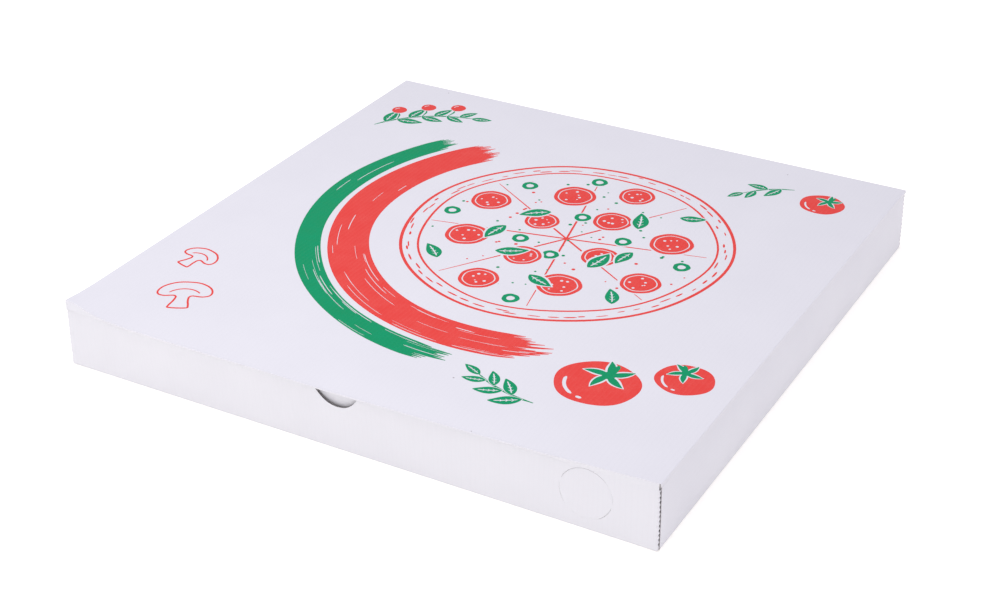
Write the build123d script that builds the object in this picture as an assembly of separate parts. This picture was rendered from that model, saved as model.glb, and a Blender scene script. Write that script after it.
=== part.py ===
"""Pizza box, folded from one die-cut blank of fine-flute corrugated board.

Two nodes: the tray and the lid, which meet at the one crease that works in use.
Millimetres. The origin is at the middle of the footprint, +Z is up, and the front
wall, with its thumb notch, faces -Y.
"""

import os

from build123d import *

# Outside of the closed box
BOX_WIDTH = 330.0
BOX_DEPTH = 330.0
BOX_HEIGHT = 36.5

# The board and its folds
BOARD = 1.5
FOLD_RADIUS = 1.0
LAYER_GAP = 0.3
LID_GAP = 0.2

# Corrugation, which runs along Y in the flat blank, and how deep its mouths are cut
LINER = 0.3
FLUTE_PITCH = 2.5
FLUTE_PAPER = 0.22
FLUTE_CREST = 0.55
FLUTE_DEPTH = 3.0

# Front wall: its edge lies under the lid's crease nose, with tabs at its ends
EDGE_DROP = 3.7
CORNER_TAB_LENGTH = 48.0

# Roll-over side walls: their raw ends lie behind the end walls' faces, and the rim stops shorter
CORNER_STEP = 1.9
RIM_SETBACK = 6.0
LOCK_LENGTH = 42.0
LOCK_SPACING = 170.0
LOCK_RECESS = 0.3

# Thumb notch in the top edge of the front wall
NOTCH_WIDTH = 23.4
NOTCH_DEPTH = 7.0

# Knock-out vent: a round slit, broken by nicks that hold the disc
VENT_TOP_MARGIN = 1.6
VENT_BOTTOM_MARGIN = 4.7
VENT_SLIT = 0.4
VENT_NICK = 3.2
VENT_NICK_ANGLES = (352.0, 165.0, 270.0)
VENT_FROM_SIDE = 35.7

# Lid: crease nose over the front wall, tuck flap behind it
CREASE_RADIUS = 1.3
NOSE_RADIUS = 0.8
EDGE_ROUND = 0.4
FLAP_GAP = 0.4
FLAP_SIDE_GAP = 0.6
FLAP_FLOOR_GAP = 5.7
FLAP_LEAN = 3.5
FLAP_CORNER = 14.0

# Middles of the layers, from the outside in
half_width = BOX_WIDTH / 2
half_depth = BOX_DEPTH / 2
layer_step = BOARD + LAYER_GAP
outer_side = half_width - BOARD / 2
tab_side = outer_side - layer_step
inner_side = tab_side - layer_step
wall_line = half_depth - BOARD / 2
raw_end = half_depth - CORNER_STEP
floor_line = BOARD / 2
floor_top = BOARD

# Heights under the lid
front_edge = BOX_HEIGHT - EDGE_DROP
nose_bottom = front_edge + 2 * LID_GAP
lid_underside = BOX_HEIGHT - BOARD
rim_top = lid_underside - LID_GAP
rim_line = rim_top - BOARD / 2
foot_height = floor_top + LAYER_GAP


def folded(plane, *points):
    """Face of board thickness along a line that is folded at each inner point."""
    line = FilletPolyline(*points, radius=FOLD_RADIUS)
    return plane * trace(line, line_width=BOARD)


def block(low, high):
    """Box between two corners."""
    size = [b - a for a, b in zip(low, high)]
    middle = [(a + b) / 2 for a, b in zip(low, high)]
    return Pos(*middle) * Box(*size)


def flute_mouths(length):
    """Mouths of the flutes along a cut edge: X along the edge, Y across the board."""
    liner_face = BOARD / 2 - LINER
    crest_face = liner_face - FLUTE_PAPER
    overlap = FLUTE_PAPER / (liner_face + crest_face)
    narrow = FLUTE_CREST / 2
    wide = (FLUTE_PITCH / 2 - FLUTE_PAPER - narrow * (1 + overlap)) / (1 - overlap)
    count = int(length / FLUTE_PITCH)
    mouths = []
    for number in range(count):
        middle = (number - (count - 1) / 2) * FLUTE_PITCH
        for side in (-1, 1):
            outline = Polyline(
                (-wide, side * liner_face),
                (wide, side * liner_face),
                (narrow, -side * crest_face),
                (-narrow, -side * crest_face),
                close=True,
            )
            mouths.append(Pos(middle + side * FLUTE_PITCH / 4, 0) * make_face(outline))
    return mouths


def flute_cutters(plane, length, depth):
    """Flute mouths on a plane that lies on a cut edge, sunk into the board."""
    return [extrude(plane * mouth, amount=-depth) for mouth in flute_mouths(length)]


def side_flutes():
    """Cutters for the raw ends of the outer side layers, at all four corners."""
    low = floor_line + FOLD_RADIUS
    high = rim_line - FOLD_RADIUS
    cutters = []
    for end in (-1, 1):
        for side in (-1, 1):
            middle = (side * outer_side, end * raw_end, (low + high) / 2)
            plane = Plane(origin=middle, x_dir=(0, 0, 1), z_dir=(0, end, 0))
            cutters += flute_cutters(plane, high - low, FLUTE_DEPTH)
    return cutters


def front_flutes():
    """Cutters for the front wall's top edge, which reach down to the thumb notch."""
    plane = Plane(origin=(0, -wall_line, front_edge), x_dir=(1, 0, 0), z_dir=(0, 0, 1))
    return flute_cutters(plane, 2 * (tab_side - FOLD_RADIUS), NOTCH_DEPTH + FLUTE_DEPTH)


def side_walls():
    """Floor and both roll-over side walls, as one folded section along the depth."""
    section = folded(
        Plane.XZ,
        (-inner_side, foot_height),
        (-inner_side, rim_line),
        (-outer_side, rim_line),
        (-outer_side, floor_line),
        (outer_side, floor_line),
        (outer_side, rim_line),
        (inner_side, rim_line),
        (inner_side, foot_height),
    )
    walls = extrude(section, amount=raw_end, both=True)
    clear = half_width - BOARD
    for end in (-1, 1):
        near, far = sorted((end * (half_depth - RIM_SETBACK), end * (half_depth + BOARD)))
        walls -= block((-clear, near, -BOARD), (clear, far, BOX_HEIGHT))
    return walls


def end_walls():
    """Front and back walls with the floor between them, as far as the corner folds."""
    section = folded(
        Plane.YZ,
        (-wall_line, front_edge),
        (-wall_line, floor_line),
        (wall_line, floor_line),
        (wall_line, rim_top),
    )
    return extrude(section, amount=tab_side - FOLD_RADIUS, both=True)


def corner_tabs(end):
    """Tabs of one end wall, folded back between the layers of the side walls."""
    tab_end = end * (half_depth - CORNER_TAB_LENGTH)
    section = folded(
        Plane.XY.offset(foot_height),
        (-tab_side, tab_end),
        (-tab_side, end * wall_line),
        (tab_side, end * wall_line),
        (tab_side, tab_end),
    )
    return extrude(section, amount=front_edge - foot_height)


def lock_boxes(margin, low, high):
    """The four lock tabs under the inner side layers, or their slots, by the margin."""
    half_length = LOCK_LENGTH / 2 + margin
    half_board = BOARD / 2 + margin
    locks = []
    for side in (-1, 1):
        for place in (-LOCK_SPACING / 2, LOCK_SPACING / 2):
            x = side * inner_side
            corner = (x - half_board, place - half_length, low)
            locks.append(block(corner, (x + half_board, place + half_length, high)))
    return locks


def thumb_notch():
    """Round cutter for the middle of the front wall's top edge."""
    radius = (NOTCH_WIDTH**2 / 4 + NOTCH_DEPTH**2) / (2 * NOTCH_DEPTH)
    height = front_edge - NOTCH_DEPTH + radius
    return Pos(0, -wall_line, height) * Rot(90, 0, 0) * Cylinder(radius, 2 * BOARD)


def vent_slit():
    """Cutter for the knock-out vent near the right end of the front wall."""
    radius = (front_edge - VENT_TOP_MARGIN - VENT_BOTTOM_MARGIN) / 2
    ring = Circle(radius + VENT_SLIT / 2) - Circle(radius - VENT_SLIT / 2)
    for angle in VENT_NICK_ANGLES:
        ring -= Rot(0, 0, angle) * Pos(radius, 0) * Rectangle(3 * VENT_SLIT, VENT_NICK)
    centre = (half_width - VENT_FROM_SIDE, -wall_line, VENT_BOTTOM_MARGIN + radius)
    wall = Plane(origin=centre, x_dir=(1, 0, 0), z_dir=(0, -1, 0))
    return extrude(wall * ring, amount=BOARD, both=True)


def make_tray():
    """The folded tray."""
    tray = side_walls() + end_walls() + corner_tabs(-1) + corner_tabs(1)
    tray -= lock_boxes(LAYER_GAP, -BOARD, floor_top)
    tray += lock_boxes(0, LOCK_RECESS, foot_height + BOARD)
    tray -= [thumb_notch(), vent_slit()]
    return tray - (side_flutes() + front_flutes())


def tuck_flap():
    """Flap that leans back behind the front wall, with rounded lower corners."""
    half_flap = inner_side - BOARD / 2 - FLAP_SIDE_GAP
    length = nose_bottom - floor_top - FLAP_FLOOR_GAP
    outward = Vector(0, -1, 0).rotate(Axis.X, FLAP_LEAN)
    start = (0, -half_depth + BOARD + FLAP_GAP, nose_bottom)
    face = Plane(origin=start, x_dir=(1, 0, 0), z_dir=outward)
    outline = Pos(0, -length / 2) * Rectangle(2 * half_flap, length)
    low_corners = outline.vertices().group_by(Axis.Y)[0]
    return extrude(face * fillet(low_corners, FLAP_CORNER), amount=-BOARD)


def make_lid():
    """The lid: panel, crease nose and tuck flap."""
    panel = block((-half_width, -half_depth, lid_underside), (half_width, half_depth, BOX_HEIGHT))
    half_nose = half_width - layer_step
    nose_back = -half_depth + BOARD + FLAP_GAP + BOARD
    nose = block((-half_nose, -half_depth, nose_bottom), (half_nose, nose_back, BOX_HEIGHT))
    nose_lip = nose.edges().filter_by(Axis.X).sort_by(Axis.Y)[:2].sort_by(Axis.Z)[0]
    lid = panel + fillet(nose_lip, NOSE_RADIUS)
    creases = lid.faces().sort_by(Axis.Z)[-1].edges().filter_by(Axis.X)
    lid = fillet(creases, CREASE_RADIUS)
    sides = lid.faces().sort_by(Axis.Z)[-1].edges().filter_by(Axis.Y)
    return fillet(sides, EDGE_ROUND) + tuck_flap()


os.makedirs("parts", exist_ok=True)
for name, solid in {"tray": make_tray(), "lid": make_lid()}.items():
    export_step(solid, f"parts/{name}.step")
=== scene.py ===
"""Looks of the pizza box: coated corrugated board, cut edges, lid crease and a two-ink print."""

import logging
import math
import random
from dataclasses import dataclass, field
from enum import Enum, IntEnum

import bmesh
import bpy
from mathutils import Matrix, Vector
from mathutils.geometry import delaunay_2d_cdt

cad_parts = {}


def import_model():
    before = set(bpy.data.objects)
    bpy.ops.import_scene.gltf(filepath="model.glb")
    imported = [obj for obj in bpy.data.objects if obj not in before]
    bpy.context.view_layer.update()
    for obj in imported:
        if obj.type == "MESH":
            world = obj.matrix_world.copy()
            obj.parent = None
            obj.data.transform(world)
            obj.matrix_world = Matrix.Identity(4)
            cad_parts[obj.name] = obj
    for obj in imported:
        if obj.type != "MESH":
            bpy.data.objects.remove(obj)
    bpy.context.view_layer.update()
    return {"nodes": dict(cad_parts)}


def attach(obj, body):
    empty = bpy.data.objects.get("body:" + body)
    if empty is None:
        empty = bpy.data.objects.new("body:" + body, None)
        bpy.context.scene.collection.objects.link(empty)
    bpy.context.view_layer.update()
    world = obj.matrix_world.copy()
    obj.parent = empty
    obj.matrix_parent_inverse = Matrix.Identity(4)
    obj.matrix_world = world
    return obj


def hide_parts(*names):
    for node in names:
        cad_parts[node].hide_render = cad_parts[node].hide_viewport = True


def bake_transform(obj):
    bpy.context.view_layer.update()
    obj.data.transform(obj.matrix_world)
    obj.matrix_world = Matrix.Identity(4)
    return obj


LOG = logging.getLogger("pizza_box")
MM = 0.001
ACROSS = "across_flutes"
FACING = 0.7
CUT_SLACK = 1e-3
PEN_END = 0.35
INSIDE_ONLY = 1
WOBBLES = ((1.0, 3, 40), (0.6, 7, 10))

Point = tuple[float, float]
Span = tuple[float, float]
Stops = tuple[Point, ...]
Outline = list[Point]
Colour = tuple[float, float, float, float]


class Face(IntEnum):
    """Which side of the board a face belongs to, and its material slot on a board piece."""

    COATED = 0
    RECYCLED = 1
    CUT = 2
    # Raw ends of the side walls, dressed in the lighter copy of the cut board, which carries painted
    # light.
    END = 3


class Ink(Enum):
    """The two printing inks, each with its own plate."""

    RED = "red"
    GREEN = "green"


Shape = tuple[Ink | None, Outline]


class Nodes:
    """Short ways to add and link nodes in one node tree."""

    def __init__(self, tree: bpy.types.NodeTree) -> None:
        """Keeps the tree that nodes are added to."""
        self.tree = tree

    def add(self, kind: str, **values: object) -> bpy.types.Node:
        """Adds a node and sets its properties.

        Args:
            kind: Blender's node type.
            values: properties of the node, by name.

        Returns:
            The new node.
        """
        node = self.tree.nodes.new(kind)
        for name, value in values.items():
            setattr(node, name, value)
        return node

    def link(self, source: bpy.types.NodeSocket, target: bpy.types.NodeSocket) -> None:
        """Links an output to an input."""
        self.tree.links.new(source, target)

    def feed(self, socket: bpy.types.NodeSocket, value: object) -> None:
        """Links a socket to an input, or sets a plain value on it.

        Args:
            socket: the input.
            value: a socket or a plain value.
        """
        if isinstance(value, bpy.types.NodeSocket):
            self.link(value, socket)
        else:
            socket.default_value = value

    def math(self, operation: str, first: object, second: object = 0.0) -> bpy.types.NodeSocket:
        """Adds a Math node.

        Args:
            operation: Blender's name of the operation.
            first: a socket or a number.
            second: a socket or a number.

        Returns:
            The node's output.
        """
        node = self.add("ShaderNodeMath", operation=operation)
        self.feed(node.inputs[0], first)
        self.feed(node.inputs[1], second)
        return node.outputs[0]

    def noise(self, place: bpy.types.NodeSocket, scale: object, detail: float) -> bpy.types.NodeSocket:
        """Adds a noise texture.

        Args:
            place: where it is read.
            scale: a socket or a number.
            detail: how many finer layers it has.

        Returns:
            The noise's value.
        """
        node = self.add("ShaderNodeTexNoise")
        self.feed(node.inputs["Scale"], scale)
        node.inputs["Detail"].default_value = detail
        self.link(place, node.inputs["Vector"])
        return node.outputs["Fac"]

    def spread(
        self, value: bpy.types.NodeSocket, low: float, high: float, to_low: float, to_high: float
    ) -> bpy.types.NodeSocket:
        """Maps a value from one span to another, clamped.

        Args:
            value: the socket to map.
            low: start of its span.
            high: end of its span.
            to_low: start of the new span.
            to_high: end of the new span.

        Returns:
            The mapped value's socket.
        """
        node = self.add("ShaderNodeMapRange")
        self.link(value, node.inputs["Value"])
        ends = {"From Min": low, "From Max": high, "To Min": to_low, "To Max": to_high}
        for name, number in ends.items():
            node.inputs[name].default_value = number
        return node.outputs["Result"]

    def mix(self, share: bpy.types.NodeSocket, first: object, second: object) -> bpy.types.NodeSocket:
        """Mixes two colours.

        Args:
            share: socket with the second colour's share.
            first: a colour or a colour socket.
            second: a colour or a colour socket.

        Returns:
            The mixed colour's socket.
        """
        node = self.add("ShaderNodeMix", data_type="RGBA")
        colours = [socket for socket in node.inputs if socket.type == "RGBA"]
        self.link(share, node.inputs["Factor"])
        self.feed(colours[0], first)
        self.feed(colours[1], second)
        return next(socket for socket in node.outputs if socket.type == "RGBA")


class EffectGroup:
    """A shader node group that is built once and placed in several materials."""

    def __init__(self, name: str, inputs: dict[str, float], outputs: list[str]) -> None:
        """Makes the empty group with its sockets.

        Args:
            name: the group's name.
            inputs: names of the number inputs, with their default values.
            outputs: names of the number outputs.
        """
        self.tree = bpy.data.node_groups.new(name, "ShaderNodeTree")
        for label, value in inputs.items():
            socket = self.tree.interface.new_socket(label, in_out="INPUT", socket_type="NodeSocketFloat")
            socket.default_value = value
        for label in outputs:
            self.tree.interface.new_socket(label, in_out="OUTPUT", socket_type="NodeSocketFloat")
        self.nodes = Nodes(self.tree)
        self.start = self.nodes.add("NodeGroupInput").outputs
        self.end = self.nodes.add("NodeGroupOutput").inputs

    def place(self, nodes: Nodes, **values: object) -> bpy.types.NodeOutputs:
        """Places the group in a material.

        Args:
            nodes: the material's nodes.
            values: numbers or sockets for the inputs, with _ for a space in a name.

        Returns:
            The group node's outputs.
        """
        node = nodes.add("ShaderNodeGroup", node_tree=self.tree)
        for label, value in values.items():
            nodes.feed(node.inputs[label.replace("_", " ")], value)
        return node.outputs


@dataclass
class BoardEffects:
    """The effects that the board's materials share, each a node group."""

    flute_pitch: float = 2.5 * MM
    noise_span: Span = (0.3, 0.7)
    drift_scale: float = 16.0
    drift: float = 0.12
    press_scale: float = 34.0
    press_span: Span = (0.35, 0.7)
    press_least: float = 0.3
    crest_start: float = 0.4
    fleck_rarity: float = 0.82
    ribs: EffectGroup = field(init=False)
    fibre: EffectGroup = field(init=False)

    def __post_init__(self) -> None:
        """Builds both node groups."""
        self.ribs = self.make_ribs()
        self.fibre = self.make_fibre()

    def make_ribs(self) -> EffectGroup:
        """Builds the faint washboard that the flutes press through a liner.

        Returns:
            The group, with the rib height and a mask of the glued crests.
        """
        inputs = {"Across": 0.0, "Pitch": self.flute_pitch}
        group = EffectGroup("flute_ribs", inputs, ["Height", "Crest"])
        nodes = group.nodes
        place = nodes.add("ShaderNodeTexCoord").outputs["Object"]
        turns = nodes.math("DIVIDE", group.start["Across"], group.start["Pitch"])
        uneven = nodes.noise(place, self.drift_scale, detail=2.0)
        drift = nodes.spread(uneven, *self.noise_span, -self.drift, self.drift)
        angle = nodes.math("MULTIPLY", nodes.math("ADD", turns, drift), 2 * math.pi)
        wave = nodes.math("SINE", angle)
        pressed = nodes.noise(place, self.press_scale, detail=3.0)
        weight = nodes.spread(pressed, *self.press_span, self.press_least, 1.0)
        nodes.link(nodes.math("MULTIPLY", wave, weight), group.end["Height"])
        nodes.link(nodes.spread(wave, self.crest_start, 1.0, 0.0, 1.0), group.end["Crest"])
        return group

    def make_fibre(self) -> EffectGroup:
        """Builds the cloudiness, fine fibre and sparse flecks of paper.

        Returns:
            The group, with a cloud value, a fibre value and a fleck mask.
        """
        inputs = {"Cloud Scale": 30.0, "Fibre Scale": 900.0, "Fleck Scale": 70.0, "Fleck Size": 0.05}
        group = EffectGroup("paper_fibre", inputs, ["Cloud", "Fibre", "Fleck"])
        nodes = group.nodes
        place = nodes.add("ShaderNodeTexCoord").outputs["Object"]
        for label, detail in (("Cloud", 5.0), ("Fibre", 3.0)):
            value = nodes.noise(place, group.start[label + " Scale"], detail)
            nodes.link(nodes.spread(value, *self.noise_span, 0.0, 1.0), group.end[label])
        cells = nodes.add("ShaderNodeTexVoronoi")
        nodes.link(place, cells.inputs["Vector"])
        nodes.link(group.start["Fleck Scale"], cells.inputs["Scale"])
        inside = nodes.math("LESS_THAN", cells.outputs["Distance"], group.start["Fleck Size"])
        tone = nodes.add("ShaderNodeSeparateColor")
        nodes.link(cells.outputs["Color"], tone.inputs["Color"])
        chosen = nodes.math("GREATER_THAN", tone.outputs["Red"], self.fleck_rarity)
        nodes.link(nodes.math("MULTIPLY", inside, chosen), group.end["Fleck"])
        return group


class PaperPart(Enum):
    """The parts of the paper effect that a finish's roughness can follow."""

    CLOUD = "Cloud"
    FIBRE = "Fibre"


@dataclass(frozen=True)
class Paper:
    """Scales of the paper effect in one finish, and the size of its flecks."""

    cloud: float
    fibre: float
    fleck: float = 70.0
    fleck_size: float = 0.05

    def place(self, nodes: Nodes, effects: BoardEffects) -> bpy.types.NodeOutputs:
        """Places the paper effect in a material.

        Args:
            nodes: the material's nodes.
            effects: the shared effects.

        Returns:
            The effect's outputs.
        """
        return effects.fibre.place(
            nodes,
            Cloud_Scale=self.cloud,
            Fibre_Scale=self.fibre,
            Fleck_Scale=self.fleck,
            Fleck_Size=self.fleck_size,
        )


@dataclass(frozen=True, kw_only=True)
class Finish:
    """Base of the finishes: starts a material with a Principled shader."""

    name: str
    gloss: float

    def start(self) -> tuple[bpy.types.Material, Nodes, bpy.types.NodeInputs]:
        """Makes the material.

        Returns:
            The material, its nodes, and the shader's inputs.
        """
        material = bpy.data.materials.new(self.name)
        material.use_nodes = True
        shader = material.node_tree.nodes["Principled BSDF"].inputs
        shader["Specular IOR Level"].default_value = self.gloss
        return material, Nodes(material.node_tree), shader


@dataclass(frozen=True, kw_only=True)
class PaperFinish(Finish):
    """Base of the finishes of paper: two tones with flecks, and a fine relief."""

    paper: Paper
    rough_by: PaperPart
    roughness: Span

    def ribs(self, nodes: Nodes, effects: BoardEffects) -> bpy.types.NodeOutputs:
        """Places the flutes' ribs, read by the distance across them that each board piece carries."""
        across = nodes.add("ShaderNodeAttribute", attribute_name=ACROSS).outputs["Fac"]
        return effects.ribs.place(nodes, Across=across)

    def paint(
        self,
        nodes: Nodes,
        paper: bpy.types.NodeOutputs,
        share: bpy.types.NodeSocket,
        tones: list[Colour],
    ) -> None:
        """Mixes two tones, adds the flecks and spreads the roughness.

        Args:
            nodes: the material's nodes.
            paper: the paper effect's outputs.
            share: share of the second tone.
            tones: the first and second tone and the flecks' colour.
        """
        shader = nodes.tree.nodes["Principled BSDF"].inputs
        board = nodes.mix(share, tones[0], tones[1])
        nodes.link(nodes.mix(paper["Fleck"], board, tones[2]), shader["Base Color"])
        rough = nodes.spread(paper[self.rough_by.value], 0.0, 1.0, *self.roughness)
        nodes.link(rough, shader["Roughness"])

    def relief(self, nodes: Nodes, height: bpy.types.NodeSocket, depth: float) -> None:
        """Gives the shader a bump.

        Args:
            nodes: the material's nodes.
            height: the bump's height, from 0 to 1.
            depth: its depth in metres.
        """
        bump = nodes.add("ShaderNodeBump")
        bump.inputs["Distance"].default_value = depth
        nodes.link(height, bump.inputs["Height"])
        nodes.link(bump.outputs["Normal"], nodes.tree.nodes["Principled BSDF"].inputs["Normal"])


@dataclass(frozen=True, kw_only=True)
class Liner(PaperFinish):
    """Base of the board's two liners, which show the flutes that are glued to them."""

    light: Colour
    shade: Colour
    fleck: Colour
    cloud_share: float
    fibre_share: float
    crest_share: float
    rib_depth: float
    fibre_depth: float

    def make(self, effects: BoardEffects) -> bpy.types.Material:
        """Builds the material.

        Args:
            effects: the shared effects.

        Returns:
            The material.
        """
        material, nodes, _ = self.start()
        ribs = self.ribs(nodes, effects)
        paper = self.paper.place(nodes, effects)
        share = nodes.math("MULTIPLY", paper["Cloud"], self.cloud_share)
        for value, part in ((paper["Fibre"], self.fibre_share), (ribs["Crest"], self.crest_share)):
            share = nodes.math("ADD", share, nodes.math("MULTIPLY", value, part))
        self.paint(nodes, paper, share, [self.light, self.shade, self.fleck])
        fibre = nodes.math("MULTIPLY", paper["Fibre"], self.fibre_depth / self.rib_depth)
        self.relief(nodes, nodes.math("ADD", ribs["Height"], fibre), self.rib_depth)
        return material


@dataclass(frozen=True, kw_only=True)
class CoatedLiner(Liner):
    """White clay-coated outside of the board."""

    name: str = "coated_liner"
    light: Colour = (0.6705, 0.666, 0.7065, 1.0)
    shade: Colour = (0.6435, 0.639, 0.681, 1.0)
    fleck: Colour = (0.33, 0.31, 0.33, 1.0)
    paper: Paper = Paper(26.0, 1400.0, fleck_size=0.032)
    cloud_share: float = 0.55
    fibre_share: float = 0.0
    crest_share: float = 0.22
    rough_by: PaperPart = PaperPart.CLOUD
    roughness: Span = (0.46, 0.58)
    gloss: float = 0.32
    rib_depth: float = 0.014 * MM
    fibre_depth: float = 0.012 * MM


@dataclass(frozen=True, kw_only=True)
class RecycledLiner(Liner):
    """Uncoated recycled inside of the board, pale grey with fibre and flecks."""

    name: str = "recycled_liner"
    light: Colour = (0.60, 0.565, 0.51, 1.0)
    shade: Colour = (0.49, 0.455, 0.405, 1.0)
    fleck: Colour = (0.22, 0.19, 0.16, 1.0)
    paper: Paper = Paper(90.0, 2200.0, 300.0)
    cloud_share: float = 0.5
    fibre_share: float = 0.3
    crest_share: float = 0.25
    rough_by: PaperPart = PaperPart.FIBRE
    roughness: Span = (0.78, 0.92)
    gloss: float = 0.2
    rib_depth: float = 0.07 * MM
    fibre_depth: float = 0.04 * MM


@dataclass(frozen=True, kw_only=True)
class CutBoard(PaperFinish):
    """Die-cut edges and the paper of the flutes behind them, in the board's grey darkened by painted
    shade of the flute hollows.
    """

    name: str = "cut_board"
    # These tones are darker than the board's grey core: the core's own grey plus painted shade of the
    # flute hollows.
    light: Colour = (0.34, 0.325, 0.33, 1.0)
    shade: Colour = (0.18, 0.168, 0.172, 1.0)
    fleck: Colour = (0.18, 0.16, 0.15, 1.0)
    paper: Paper = Paper(260.0, 3200.0, 500.0)
    rough_by: PaperPart = PaperPart.FIBRE
    roughness: Span = (0.85, 0.97)
    gloss: float = 0.15
    fibre_depth: float = 0.06 * MM

    def make(self, effects: BoardEffects) -> bpy.types.Material:
        """Builds the material.

        Args:
            effects: the shared effects.

        Returns:
            The material.
        """
        material, nodes, _ = self.start()
        paper = self.paper.place(nodes, effects)
        share = nodes.math("MULTIPLY", paper["Cloud"], paper["Fibre"])
        self.paint(nodes, paper, share, [self.light, self.shade, self.fleck])
        self.relief(nodes, paper["Fibre"], self.fibre_depth)
        return material


@dataclass(frozen=True, kw_only=True)
class PrintInk(PaperFinish):
    """Flexo ink on the coated liner, thin in patches and over the flutes' crests."""

    full: Colour
    thin: Colour
    paper: Paper = Paper(120.0, 1500.0, 240.0, 0.06)
    crest_share: float = 0.18
    rough_by: PaperPart = PaperPart.CLOUD
    roughness: Span = (0.42, 0.55)
    gloss: float = 0.06
    rib_depth: float = 0.03 * MM

    def make(self, effects: BoardEffects) -> bpy.types.Material:
        """Builds the material.

        Args:
            effects: the shared effects.

        Returns:
            The material.
        """
        material, nodes, _ = self.start()
        ribs = self.ribs(nodes, effects)
        paper = self.paper.place(nodes, effects)
        patchy = nodes.math("MULTIPLY", paper["Cloud"], paper["Fibre"])
        crests = nodes.math("MULTIPLY", ribs["Crest"], self.crest_share)
        self.paint(nodes, paper, nodes.math("ADD", patchy, crests), [self.full, self.thin, self.thin])
        self.relief(nodes, ribs["Height"], self.rib_depth)
        return material


@dataclass(frozen=True, kw_only=True)
class StudioFloor(Finish):
    """Plain pale floor."""

    name: str = "studio_floor"
    gloss: float = 0.0
    light: Colour = (0.94, 0.932, 0.905, 1.0)
    shade: Colour = (0.935, 0.927, 0.90, 1.0)
    cloud_scale: float = 3.0
    roughness: float = 0.9
    glow: float = 0.275
    glow_tint: Colour = (1.0, 0.975, 0.88, 1.0)

    def make(self, effects: BoardEffects) -> bpy.types.Material:
        """Builds the material.

        Args:
            effects: the shared effects.

        Returns:
            The material.
        """
        material, nodes, shader = self.start()
        paper = effects.fibre.place(nodes, Cloud_Scale=self.cloud_scale)
        nodes.link(nodes.mix(paper["Cloud"], self.light, self.shade), shader["Base Color"])
        shader["Roughness"].default_value = self.roughness
        shader["Emission Color"].default_value = self.glow_tint
        shader["Emission Strength"].default_value = self.glow
        self.clear_below(nodes)
        return material

    def clear_below(self, nodes: Nodes) -> None:
        """Leaves the floor clear from below, so that the box's underside can be looked at.

        Args:
            nodes: the material's nodes.
        """
        mix = nodes.add("ShaderNodeMixShader")
        nodes.link(nodes.add("ShaderNodeNewGeometry").outputs["Backfacing"], mix.inputs["Fac"])
        nodes.link(nodes.tree.nodes["Principled BSDF"].outputs["BSDF"], mix.inputs[1])
        nodes.link(nodes.add("ShaderNodeBsdfTransparent").outputs["BSDF"], mix.inputs[2])
        nodes.link(mix.outputs["Shader"], nodes.tree.nodes["Material Output"].inputs["Surface"])


def smooth_step(value: float, start: float, end: float) -> float:
    """Rises smoothly from 0 at start to 1 at end, which may be the lower of the two.

    Args:
        value: where to read the step.
        start: where it leaves 0.
        end: where it reaches 1.

    Returns:
        A number from 0 to 1.
    """
    share = min(max((value - start) / (end - start), 0.0), 1.0)
    return share * share * (3 - 2 * share)


def read_stops(stops: Stops, value: float) -> float:
    """Reads a smooth curve that is given by places and the values there.

    Args:
        stops: pairs of place and value, by rising place.
        value: the place to read.

    Returns:
        The value at that place.
    """
    result = stops[0][1]
    for (start, low), (end, high) in zip(stops, stops[1:]):
        if value > start:
            result = low + (high - low) * smooth_step(value, start, end)
    return result


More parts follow.
